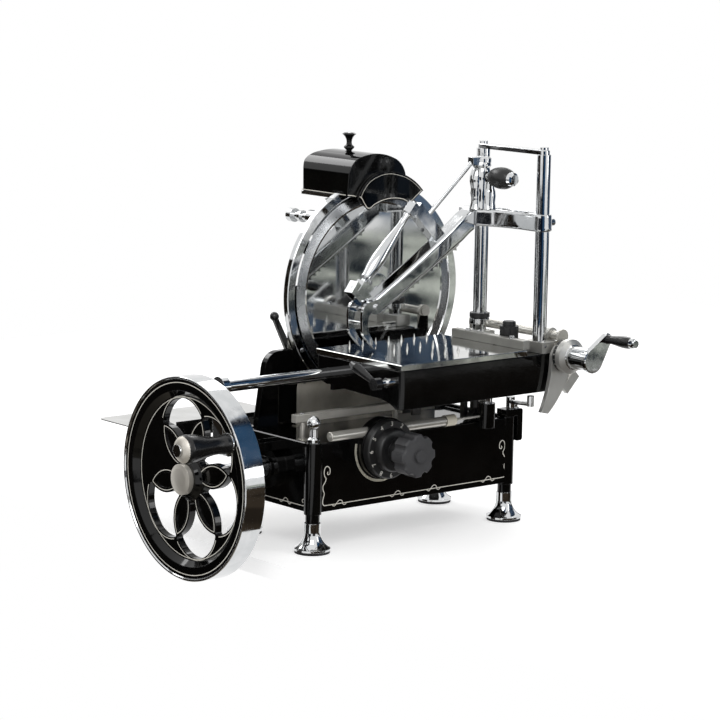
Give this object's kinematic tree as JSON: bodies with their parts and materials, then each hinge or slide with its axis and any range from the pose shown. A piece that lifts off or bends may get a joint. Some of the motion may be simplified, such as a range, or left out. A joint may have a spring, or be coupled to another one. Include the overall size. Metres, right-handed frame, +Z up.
{
  "type": "hand crank meat slicer",
  "caption": "Flywheel meat slicer: a hand crank turns a guarded round blade while a carriage with a spiked table and a clamp slides past it.",
  "frame": {"origin": "on the table, at the centre of the four feet", "axes": "+X along the flywheel shaft away from the flywheel, +Y towards the slice tray, +Z up"},
  "size_m": [0.6867, 0.6378, 0.6245],
  "materials": {
    "base_casting": "gloss",
    "foot_bells": "polished",
    "foot_pads": "matt",
    "acorn_finial": "polished",
    "bearing_bushes": "satin",
    "guide_bar": "polished",
    "base_brackets": "gloss",
    "roller_rail": "polished",
    "splash_plate": "polished",
    "blade_column": "gloss",
    "guard_ring": "polished",
    "slice_deflector": "satin",
    "chain_case": "gloss",
    "drive_chain": "satin",
    "receiving_tray": "satin",
    "sharpener_bracket": "polished",
    "flywheel": "gloss",
    "flywheel_fittings": "polished",
    "main_shaft": "satin",
    "bevel_pinion": "machined",
    "flywheel_grip": "gloss",
    "cross_shaft": "machined",
    "bevel_gear": "machined",
    "drive_sprocket": "satin",
    "blade": "polished",
    "blade_shaft": "polished",
    "rocker_arm": "machined",
    "carriage_body": "gloss",
    "carriage_hangers": "machined",
    "feed_bracket": "gloss",
    "table_guide_bar": "polished",
    "roller": "satin",
    "meat_table": "polished",
    "column_blocks": "satin",
    "columns": "polished",
    "top_bar": "polished",
    "feed_screw": "satin",
    "feed_ring": "gloss",
    "feed_crank": "polished",
    "crank_grip": "gloss",
    "ratchet_arm": "gloss",
    "clamp_head": "polished",
    "clamp_tower": "polished",
    "clamp_arm": "polished",
    "clamp_brace": "polished",
    "toothed_strip": "satin",
    "clamp_knob": "gloss",
    "claw": "polished",
    "fence_bar": "satin",
    "fence_knob": "gloss",
    "release_lever": "polished",
    "sharpener_spindle": "satin",
    "grinding_stone": "rough",
    "honing_stone": "rough",
    "sharpener_cover": "gloss",
    "dial_ring": "gloss",
    "star_knob": "gloss",
    "rack_bar": "polished",
    "trip_finger": "polished",
    "deflector_lever": "polished"
  },
  "bodies": {
    "frame": {"base_casting": "base_casting", "foot_bells": "foot_bells", "foot_pads": "foot_pads", "acorn_finial": "acorn_finial", "bearing_bushes": "bearing_bushes", "guide_bar": "guide_bar", "base_brackets": "base_brackets", "roller_rail": "roller_rail", "splash_plate": "splash_plate", "blade_column": "blade_column", "guard_ring": "guard_ring", "slice_deflector": "slice_deflector", "chain_case": "chain_case", "drive_chain": "drive_chain", "receiving_tray": "receiving_tray", "sharpener_bracket": "sharpener_bracket"},
    "wheel": {"flywheel": "flywheel", "flywheel_fittings": "flywheel_fittings", "main_shaft": "main_shaft", "bevel_pinion": "bevel_pinion"},
    "wheel_grip": {"flywheel_grip": "flywheel_grip"},
    "cross": {"cross_shaft": "cross_shaft", "bevel_gear": "bevel_gear", "drive_sprocket": "drive_sprocket"},
    "blade": {"blade": "blade", "blade_shaft": "blade_shaft"},
    "rocker": {"rocker_arm": "rocker_arm"},
    "carriage": {"carriage_body": "carriage_body", "carriage_hangers": "carriage_hangers", "feed_bracket": "feed_bracket", "table_guide_bar": "table_guide_bar"},
    "roller": {"roller": "roller"},
    "table": {"meat_table": "meat_table", "column_blocks": "column_blocks", "columns": "columns", "top_bar": "top_bar"},
    "screw": {"feed_screw": "feed_screw", "feed_ring": "feed_ring", "feed_crank": "feed_crank"},
    "crank_handle": {"crank_grip": "crank_grip"},
    "ratchet": {"ratchet_arm": "ratchet_arm"},
    "clamp": {"clamp_head": "clamp_head", "clamp_tower": "clamp_tower", "clamp_arm": "clamp_arm", "clamp_brace": "clamp_brace", "toothed_strip": "toothed_strip"},
    "clamp_lock": {"clamp_knob": "clamp_knob"},
    "claw": {"claw": "claw"},
    "fence": {"fence_bar": "fence_bar"},
    "fence_lock": {"fence_knob": "fence_knob"},
    "release": {"release_lever": "release_lever"},
    "spindle": {"sharpener_spindle": "sharpener_spindle"},
    "stone_a": {"grinding_stone": "grinding_stone"},
    "stone_b": {"honing_stone": "honing_stone"},
    "cover": {"sharpener_cover": "sharpener_cover"},
    "dial": {"dial_ring": "dial_ring", "star_knob": "star_knob"},
    "rack": {"rack_bar": "rack_bar"},
    "trip": {"trip_finger": "trip_finger"},
    "deflector": {"deflector_lever": "deflector_lever"}
  },
  "joints": [
    {"name": "flywheel_turn", "type": "hinge", "parent": "frame", "child": "wheel", "pos_m": [0, 0, 0.116], "axis": [1, 0, 0], "continuous": true},
    {"name": "wheel_grip_spin", "type": "hinge", "parent": "wheel", "child": "wheel_grip", "pos_m": [-0.4, -0.10922, 0.18558], "axis": [1, 0, 0], "continuous": true},
    {"name": "cross_shaft_turn", "type": "hinge", "parent": "frame", "child": "cross", "pos_m": [0.046, 0, 0.116], "axis": [0, 1, 0], "continuous": true},
    {"name": "blade_turn", "type": "hinge", "parent": "frame", "child": "blade", "pos_m": [0.046, 0, 0.351], "axis": [0, 1, 0], "continuous": true},
    {"name": "carriage_slide", "type": "slide", "parent": "frame", "child": "carriage", "axis": [1, 0, 0], "range_m": [-0.18, 0]},
    {"name": "rocker_swing", "type": "hinge", "parent": "frame", "child": "rocker", "pos_m": [0.046, -0.07, 0.072], "axis": [0, 1, 0], "range_deg": [-86.1, 0]},
    {"name": "roller_spin", "type": "hinge", "parent": "carriage", "child": "roller", "pos_m": [0.033, -0.04, 0.2069], "axis": [0, 1, 0], "continuous": true},
    {"name": "table_feed", "type": "slide", "parent": "carriage", "child": "table", "axis": [0, 1, 0], "range_m": [0, 0.055]},
    {"name": "feed_screw_turn", "type": "hinge", "parent": "carriage", "child": "screw", "pos_m": [0.194, -0.2, 0.2725], "axis": [0, 1, 0], "range_deg": [0, 3960]},
    {"name": "crank_grip_spin", "type": "hinge", "parent": "screw", "child": "crank_handle", "pos_m": [0.2217, -0.3, 0.30273], "axis": [0, 1, 0], "continuous": true},
    {"name": "ratchet_swing", "type": "hinge", "parent": "carriage", "child": "ratchet", "pos_m": [0.194, -0.195, 0.2725], "axis": [0, 1, 0], "range_deg": [-25, 0]},
    {"name": "clamp_lift", "type": "slide", "parent": "table", "child": "clamp", "axis": [0, 0, 1], "range_m": [0, 0.075]},
    {"name": "clamp_knob_turn", "type": "hinge", "parent": "clamp", "child": "clamp_lock", "pos_m": [0.147, -0.1, 0.533], "axis": [0, 1, 0], "continuous": true},
    {"name": "claw_swing", "type": "hinge", "parent": "clamp", "child": "claw", "pos_m": [-0.06, -0.045, 0.349], "axis": [0, 1, 0], "range_deg": [0, 25]},
    {"name": "fence_slide", "type": "slide", "parent": "table", "child": "fence", "axis": [1, 0, 0], "range_m": [-0.028, 0]},
    {"name": "fence_knob_turn", "type": "hinge", "parent": "fence", "child": "fence_lock", "pos_m": [0.1555, -0.12, 0.3], "axis": [0, 0, 1], "continuous": true},
    {"name": "release_lever_swing", "type": "hinge", "parent": "carriage", "child": "release", "pos_m": [-0.13, -0.172, 0.258], "axis": [1, 0, 0], "range_deg": [0, 30]},
    {"name": "sharpener_spindle_pull", "type": "slide", "parent": "frame", "child": "spindle", "axis": [0, 1, 0], "range_m": [0, 0.008]},
    {"name": "grinding_stone_spin", "type": "hinge", "parent": "frame", "child": "stone_a", "pos_m": [0.064, 0.075, 0.515], "axis": [0, 1, 0], "continuous": true},
    {"name": "honing_stone_spin", "type": "hinge", "parent": "frame", "child": "stone_b", "pos_m": [0.028, 0.06, 0.515], "axis": [0, 1, 0], "continuous": true},
    {"name": "cover_lift", "type": "slide", "parent": "frame", "child": "cover", "axis": [0, 0, 1], "range_m": [0, 0.06]},
    {"name": "dial_turn", "type": "hinge", "parent": "frame", "child": "dial", "pos_m": [-0.068, -0.11, 0.144], "axis": [0, 1, 0], "range_deg": [-30, 130]},
    {"name": "rack_slide", "type": "slide", "parent": "frame", "child": "rack", "axis": [1, 0, 0], "range_m": [-0.0101, 0.0437]},
    {"name": "trip_finger_swing", "type": "hinge", "parent": "frame", "child": "trip", "pos_m": [0.198, -0.082, 0.18], "axis": [0, 0, 1], "range_deg": [-20, 0]},
    {"name": "deflector_lever_swing", "type": "hinge", "parent": "frame", "child": "deflector", "pos_m": [-0.098, 0.095, 0.263], "axis": [0, 1, 0], "range_deg": [0, 60]}
  ],
  "couplings": [
    {"joint": "cross_shaft_turn", "follows": "flywheel_turn", "ratio": 1},
    {"joint": "blade_turn", "follows": "flywheel_turn", "ratio": 2},
    {"joint": "rocker_swing", "follows": "carriage_slide", "rad_per_m": 8.339},
    {"joint": "feed_screw_turn", "follows": "table_feed", "rad_per_m": 1256.6},
    {"joint": "rack_slide", "follows": "dial_turn", "m_per_rad": 0.0192}
  ]
}
